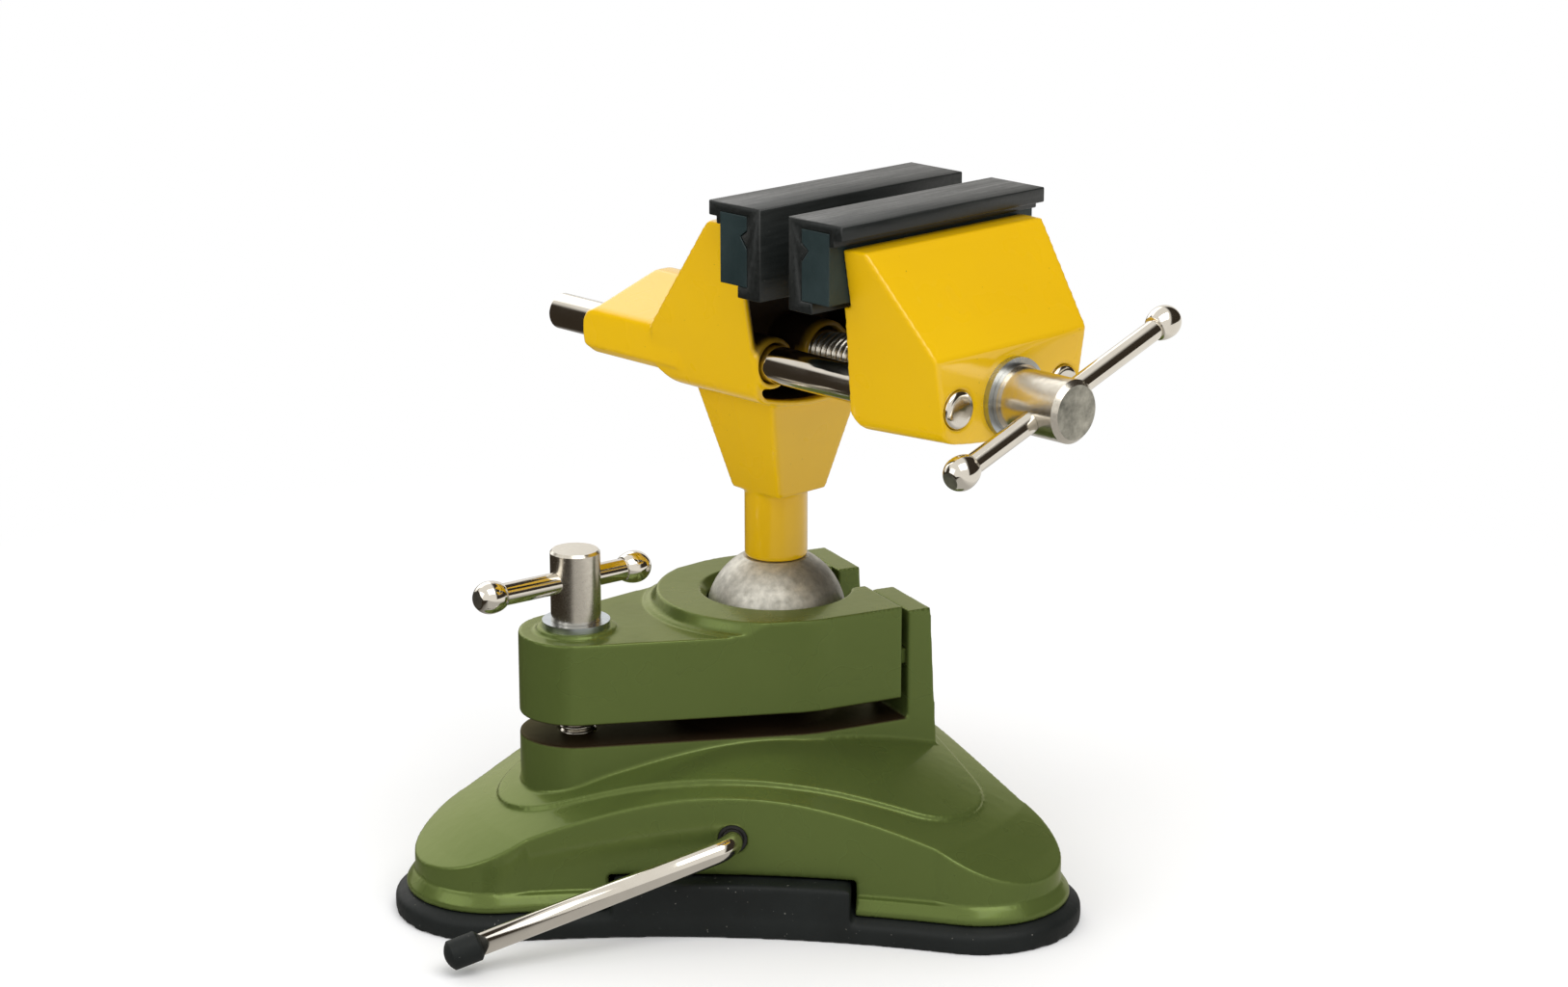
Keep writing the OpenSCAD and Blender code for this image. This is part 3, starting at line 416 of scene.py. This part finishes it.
lip = ((0.0024, 0.0068), (0.0024, 0.0086), (0.0006, 0.0113), (-0.0015, 0.0113), (-0.0015, 0.0068))
rim = ((0.0055, 0.0), (0.0055, 0.0046), (0.0050, 0.0053), (0.0028, 0.0062), (0.0010, 0.0062),
       (0.0010, 0.0))
TAB_GAP, CLOSED = 0.03315, 0.0002
soft_skin("cast_foot", "base_casting", green, "base", "green_enamel",
          square=0.00045, rounds=6, keep=0.28, extra=lambda mesh: sweep_band(mesh, lip, TAB_GAP))
soft_skin("rubber_pad", "suction_pad", rubber, "base", "black_rubber",
          square=0.0008, rounds=8, keep=0.4, extra=lambda mesh: sweep_band(mesh, rim, CLOSED))

# %% [markdown]
# ## The covers' edges
# The covers are simple blocks with straight edges, and there a bevel is the better tool: it needs few
# faces and keeps the long sides exactly flat. The CAD mesh doubles its points along edges, so these are
# joined first, and the triangles of each flat side become one face again.

# %% Bevelled covers
def bevelled(name, node, width, finish, body, slot):
    steps = (("WELD", {"merge_threshold": 1e-6}),
             ("DECIMATE", {"decimate_type": "DISSOLVE", "angle_limit": 0.02}),
             ("BEVEL", {"width": width, "segments": 3, "limit_method": "ANGLE", "angle_limit": 0.5,
                        "harden_normals": True, "use_clamp_overlap": False, "loop_slide": False}))
    return add_piece(name, shaped(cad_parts[node].data.copy(), *steps), finish, body, slot, node)


bevelled("moulded_cover_fixed", "jaw_cover_fixed", 0.0004, cover, "head", "black_cover")
bevelled("moulded_cover_moving", "jaw_cover_moving", 0.0004, cover, "moving_jaw", "black_cover")

# %% [markdown]
# ## Threads
# The solids carry the screws as plain cylinders, which is all that a simulation needs. The eye wants
# the thread. A core is a profile spun round the axis. The thread is one strip wound round it: each step
# turns a little and moves a little, and joins the strip one turn further on. The heads, with their
# cross holes, are kept from the solids by cutting the plain shank off with a plane. The spindle's sawn
# end gets the dull finish.

# %% Screws with threads
def spin(mesh, axis, profile, steps=64):
    """Adds a profile of radius and height spun about the axis frame's z; both ends lie on the axis."""
    circles = []
    for radius, height in profile:
        turns = [2 * math.pi * k / steps for k in range(steps if radius else 1)]
        circles.append([mesh.verts.new(axis @ Vector((radius * math.cos(t), radius * math.sin(t), height)))
                        for t in turns])
    for low, high in zip(circles, circles[1:]):
        for k in range(steps):
            corners = [low[k % len(low)], low[(k + 1) % len(low)],
                       high[(k + 1) % len(high)], high[k % len(high)]]
            mesh.faces.new(list(dict.fromkeys(corners)))


def wind_thread(mesh, axis, root, crest, pitch, length, steps=48):
    """Adds a thread round a core, from the axis frame's origin along its z."""
    spin(mesh, axis, [(0.0, 0.0), (root, 0.0), (root, length), (0.0, length)], steps)
    turns = int(length / pitch)
    profile = ((0.0, root), (0.38, crest), (0.62, crest), (1.0, root))
    grid = []
    for k in range(turns * steps + 1):
        turn = 2 * math.pi * k / steps
        row = [Vector((r * math.cos(turn), r * math.sin(turn), pitch * (k / steps + s)))
               for s, r in profile]
        grid.append([mesh.verts.new(axis @ p) for p in row])
    for low, high in zip(grid, grid[1:]):
        for j in range(len(profile) - 1):
            mesh.faces.new((low[j], high[j], high[j + 1], low[j + 1]))


def cut_head(node, point, keep):
    mesh = bmesh.new()
    mesh.from_mesh(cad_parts[node].data)
    bmesh.ops.bisect_plane(mesh, geom=mesh.verts[:] + mesh.edges[:] + mesh.faces[:], plane_co=point,
                           plane_no=keep, clear_inner=True)
    return mesh


def dull_faces(piece, test):
    piece.data.materials.append(dull.material)
    for face in piece.data.polygons:
        if test(face):
            face.material_index = 1


SPINDLE_CUT, CLAMP_CUT = 0.0515, 0.076
FORWARD = Matrix.Rotation(math.pi / 2, 4, "X")

low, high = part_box("lead_screw")
spindle_z = (low.z + high.z) / 2
spindle_end = low.y
spindle = cut_head("lead_screw", Vector((0, -SPINDLE_CUT, 0)), Vector((0, -1, 0)))
wind_thread(spindle, Matrix.Translation((0, high.y - 0.0005, spindle_z)) @ FORWARD,
            root=0.0049, crest=0.006, pitch=0.002, length=high.y + SPINDLE_CUT)
spindle = add_piece("threaded_spindle", to_data(spindle), satin, "lead_screw", "bright_steel", "lead_screw")
dull_faces(spindle, lambda face: face.center.y < spindle_end + 0.0001)

low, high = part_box("clamp_screw")
clamp_axis = Vector(((low.x + high.x) / 2, (low.y + high.y) / 2, 0))
clamp = cut_head("clamp_screw", Vector((0, 0, CLAMP_CUT)), Vector((0, 0, 1)))
wind_thread(clamp, Matrix.Translation(clamp_axis + Vector((0, 0, low.z))),
            root=0.0041, crest=0.005, pitch=0.0015, length=CLAMP_CUT - low.z)
add_piece("threaded_clamp_screw", to_data(clamp), satin, "clamp_screw", "bright_steel", "clamp_screw")

# %% [markdown]
# ## Bars, knobs and the lever
# Knobs and rods are turned on a lathe, so a profile spun round an axis is the natural way to make them:
# a small step behind, a round belly, and a flat sawn end that stays dull. The lever is one rod with a
# bend. It is a circle carried along a path, and the frame of the circle is turned no more than the path
# turns, so the rod doesn't twist.

# %% Turned knobs
KNOB_R, KNOB_HALF, STEP_R, FLAT_R = 0.0044, 0.0040, 0.0031, 0.0022
BACK_REACH, FRONT_REACH = 0.0060, 0.0047
belly = [(KNOB_R * math.sqrt(1 - (h / (BACK_REACH if h < 0 else FRONT_REACH)) ** 2), h)
         for h in (-0.0038 + 0.0003 * k for k in range(26))]
knob = ([(0.0, -KNOB_HALF), (STEP_R, -KNOB_HALF), (0.0033, -0.00395)] + belly
        + [(0.00235, KNOB_HALF), (FLAT_R, KNOB_HALF), (0.0, KNOB_HALF)])


def bar_knobs(name, bar, direction, span, body):
    low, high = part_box(bar)
    mesh = bmesh.new()
    for side in (1, -1):
        turn = (side * direction).to_track_quat("Z", "Y").to_matrix().to_4x4()
        spin(mesh, Matrix.Translation((low + high) / 2 + side * span / 2 * direction) @ turn, knob)
    piece = add_piece(name, to_data(mesh), bright, body, "bright_steel", bar + "_knobs")
    reach = span / 2 + KNOB_HALF - 0.0001
    dull_faces(piece, lambda face: abs((face.center - (low + high) / 2).dot(direction)) > reach)


SPINDLE_BAR, CLAMP_BAR = 0.0802, 0.0466
tilt, turned = math.radians(19), math.radians(11) + FOOT_TURN
bar_knobs("turned_spindle_knobs", "screw_bar", Vector((math.cos(tilt), 0, math.sin(tilt))),
          SPINDLE_BAR, "screw_bar")
bar_knobs("turned_clamp_knobs", "clamp_bar", Vector((math.cos(turned), math.sin(turned), 0)),
          CLAMP_BAR, "clamp_bar")

# %% Guide rods with flat ends
END_FLAT, SHOULDER = 0.0033, 0.0011


def guide_rod(name, node):
    low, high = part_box(node)
    radius, length = (high.x - low.x) / 2, high.y - low.y - 0.00015
    shoulder = [(END_FLAT + (radius - END_FLAT) * math.sin(t), length - SHOULDER * (1 - math.cos(t)))
                for t in (math.pi / 2 * k / 8 for k in range(9))]
    chamfer = [(radius - 0.0010, 0.0), (radius - 0.0008, 0.0001), (radius, 0.0010), (radius, 0.0012)]
    profile = [(0.0, 0.0)] + chamfer + shoulder[::-1] + [(END_FLAT - 0.0002, length), (0.0, length)]
    axis = Matrix.Translation(((low.x + high.x) / 2, high.y, (low.z + high.z) / 2))
    mesh = bmesh.new()
    spin(mesh, axis @ FORWARD, profile)
    add_piece(name, to_data(mesh), bright, "moving_jaw", "bright_steel", node)


guide_rod("turned_rod_left", "guide_rod_left")
guide_rod("turned_rod_right", "guide_rod_right")

# %% The bent lever
def carry(mesh, path, radius, steps=48):
    """Adds a tube round a path, closed at both ends."""
    ways = [(b - a).normalized() for a, b in zip(path, path[1:])]
    ways = [ways[0]] + [(a + b).normalized() for a, b in zip(ways, ways[1:])] + [ways[-1]]
    side = ways[0].orthogonal().normalized()
    circles = []
    for point, way in zip(path, ways):
        side = (side - side.dot(way) * way).normalized()
        other = way.cross(side)
        turns = [2 * math.pi * k / steps for k in range(steps)]
        circles.append([mesh.verts.new(point + radius * (math.cos(t) * side + math.sin(t) * other))
                        for t in turns])
    for low, high in zip(circles, circles[1:]):
        for k in range(steps):
            mesh.faces.new((low[k - 1], low[k], high[k], high[k - 1]))
    mesh.faces.new(circles[0])
    mesh.faces.new(circles[-1])


LEVER_R, LEVER_Z, ARM = 0.003, 0.0256, 0.0732
BEND_R, BEND, OUT, LEVER_DOWN = 0.007, math.radians(68), 0.0527, math.radians(286)
bend = [(BEND_R * (1 - math.cos(t)), OUT + BEND_R * math.sin(t))
        for t in (BEND * k / 16 for k in range(17))]
tip = (bend[-1][0] + ARM * math.sin(BEND), bend[-1][1] + ARM * math.cos(BEND))
socket = (FOOT @ Matrix.Translation((0, 0, LEVER_Z)) @ Matrix.Rotation(LEVER_SIDE, 4, "Z")
          @ Matrix.Rotation(math.radians(90), 4, "Y") @ Matrix.Rotation(LEVER_DOWN, 4, "Z"))
lever = bmesh.new()
carry(lever, [socket @ Vector((x, 0, z)) for x, z in [(0.0, -0.004)] + bend + [tip]], LEVER_R)
add_piece("bent_lever", to_data(lever), bright, "lever", "bright_steel", "lever_rod")

# %% [markdown]
# ## Studio
# The object stands on a plain white sweep. The camera sees white behind it and, past the shadow, white
# floor. Light itself comes from an even sky and three soft lamps: one overhead, one on the left and one
# behind. Shiny metal and enamel need something to mirror, so mirrored rays see a room: a white
# backdrop behind, a white ceiling over the left half, a floor that is bright on the right and dim on
# the left, and dark warm walls. Where the ceiling ends was read from the dark bands on the bars.

# %% Floor, sky and lamps
right, back = (0.72, -0.69), (0.45, 0.89)
room_dark, room_white = (0.040, 0.031, 0.022, 1.0), (0.95, 0.93, 0.89, 1.0)
white = (1.0, 1.0, 1.0, 1.0)


def rays(start):
    """Two masks: what the camera sees at once, and what it sees mirrored."""
    return (start.add("ShaderNodeLightPath", out=kind) for kind in ("Is Camera Ray", "Is Glossy Ray"))


bpy.ops.mesh.primitive_plane_add(size=12.0)
floor = bpy.context.object
floor.name = "white_sweep"
sweep = Finish("white_sweep")
sweep.set(Base_Color=(0.90, 0.90, 0.90, 1.0), Roughness=0.9, Specular_IOR_Level=0.1)
start = sweep.start
camera_ray, mirror_ray = rays(start)
away = start.add("ShaderNodeVectorMath", {"operation": "LENGTH"}, {0: sweep.place}, out=1).spread(0.17, 0.42)
across = sweep.x * right[0] + sweep.y * right[1]
lit = across.spread(-0.15, -0.07, 0.0, 0.55) + across.spread(0.12, 0.24, 0.0, 0.45)
glow = start.add("ShaderNodeEmission", None, {0: camera_ray.blend(lit.blend(room_dark, room_white), white)})
mixed = start.add("ShaderNodeMixShader", None, {
    0: camera_ray * away + mirror_ray, 1: Wire(sweep.tree, sweep.shader.outputs[0]), 2: glow})
output = next(n for n in sweep.tree.nodes if n.type == "OUTPUT_MATERIAL")
sweep.tree.links.new(mixed.socket, output.inputs[0])
floor.data.materials.append(sweep.material)

sky = bpy.data.worlds.new("studio_sky")
sky.use_nodes = True
scene.world = sky
start = Wire(sky.node_tree)
ground = next(n for n in sky.node_tree.nodes if n.type == "BACKGROUND")
way = start.add("ShaderNodeTexCoord", out="Generated")
east, north, up = (start.add("ShaderNodeSeparateXYZ", None, {0: way}, out=k) for k in range(3))
backdrop = (east * back[0] + north * back[1]).spread(0.60, 0.72)
ceiling = (0.46 + north * 0.2 - east).spread(-0.02, 0.10) * (up - north * 0.5).spread(0.08, 0.20)
bright_walls = backdrop.math("MAXIMUM", backdrop, ceiling)
dome = up.spread(0.0, 1.0, 0.45, 0.95).blend((0.0, 0.0, 0.0, 1.0), white)
camera_ray, mirror_ray = rays(start)
seen = camera_ray.blend(mirror_ray.blend(dome, bright_walls.blend(room_dark, room_white)), white)
sky.node_tree.links.new(seen.socket, ground.inputs[0])


def lamp(name, place, size, watts):
    data = bpy.data.lights.new(name, "AREA")
    data.shape, data.size, data.energy = "SQUARE", size, watts
    made = bpy.data.objects.new(name, data)
    made.location = place
    made.rotation_euler = (aim - Vector(place)).to_track_quat("-Z", "Y").to_euler()
    scene.collection.objects.link(made)
    print(name, watts, "W")


lamp("overhead_softbox", (-0.20, -0.68, 1.25), 0.95, 8.0)
lamp("left_softbox", (-1.10, 0.25, 0.60), 0.8, 3.0)
lamp("back_softbox", (0.30, 1.25, 0.90), 1.2, 4.0)
